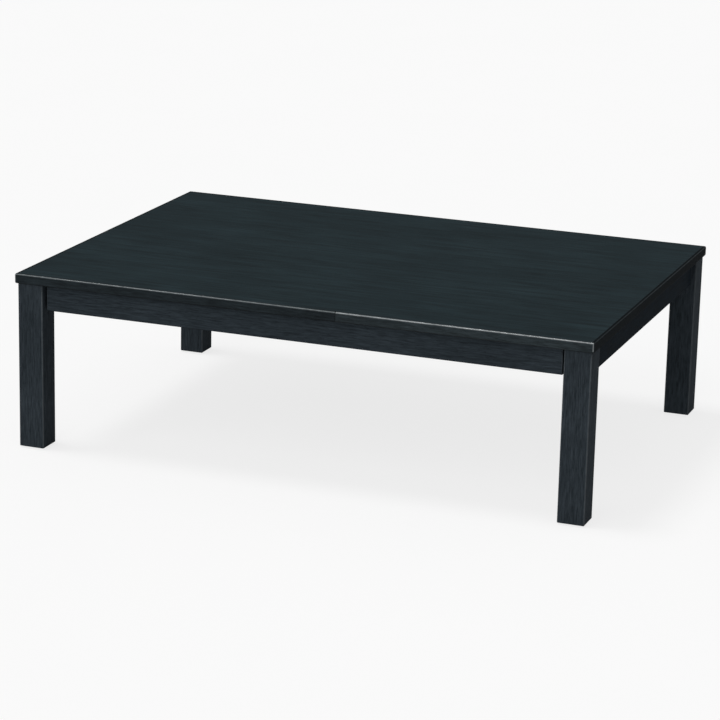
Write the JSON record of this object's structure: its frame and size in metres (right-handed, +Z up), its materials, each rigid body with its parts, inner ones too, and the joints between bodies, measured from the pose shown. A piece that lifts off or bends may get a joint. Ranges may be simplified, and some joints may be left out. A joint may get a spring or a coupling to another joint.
{
  "type": "low table",
  "caption": "Low rectangular floor table in black-stained wood: a thin lipped and veneered top on square corner legs, with recessed aprons and bolted knock-down corners.",
  "frame": {"origin": "on the floor, under the middle of the top", "axes": "+X along the table's length, -Y to its front, +Z up"},
  "size_m": [1.2, 0.85, 0.363],
  "materials": {
    "face_veneer": "wood veneer with fine straight grain along the length, stained black, satin lacquer",
    "lipping_wood": "solid hardwood strip, stained black, satin lacquer",
    "leg_wood": "solid hardwood, grain upright, stained black, satin lacquer",
    "apron_wood": "solid hardwood, grain along the board, stained black, satin lacquer",
    "core_board": "pressed fibre board, unfinished",
    "backing_sheet": "dark balancing sheet, matt",
    "block_wood": "sawn hardwood block, one thin coat of black stain",
    "zinc_steel": "bright zinc-plated steel",
    "glide_plastic": "moulded polyethylene, black"
  },
  "bodies": {
    "root": {"top_veneer": "face_veneer", "top_core": "core_board", "top_backing": "backing_sheet", "lipping_front_left": "lipping_wood", "lipping_front_right": "lipping_wood", "lipping_right": "lipping_wood", "lipping_back_right": "lipping_wood", "lipping_back_left": "lipping_wood", "lipping_left": "lipping_wood", "leg_front_left": "leg_wood", "leg_front_right": "leg_wood", "leg_back_right": "leg_wood", "leg_back_left": "leg_wood", "apron_front": "apron_wood", "apron_right": "apron_wood", "apron_back": "apron_wood", "apron_left": "apron_wood", "corner_block_front_left": "block_wood", "corner_block_front_right": "block_wood", "corner_block_back_right": "block_wood", "corner_block_back_left": "block_wood", "hanger_bolts": "zinc_steel", "flat_washers": "zinc_steel", "spring_washers": "zinc_steel", "hex_nuts": "zinc_steel", "block_screws": "zinc_steel", "apron_screws": "zinc_steel", "glide_nails": "zinc_steel", "glide_front_left": "glide_plastic", "glide_front_right": "glide_plastic", "glide_back_right": "glide_plastic", "glide_back_left": "glide_plastic"}
  },
  "joints": []
}
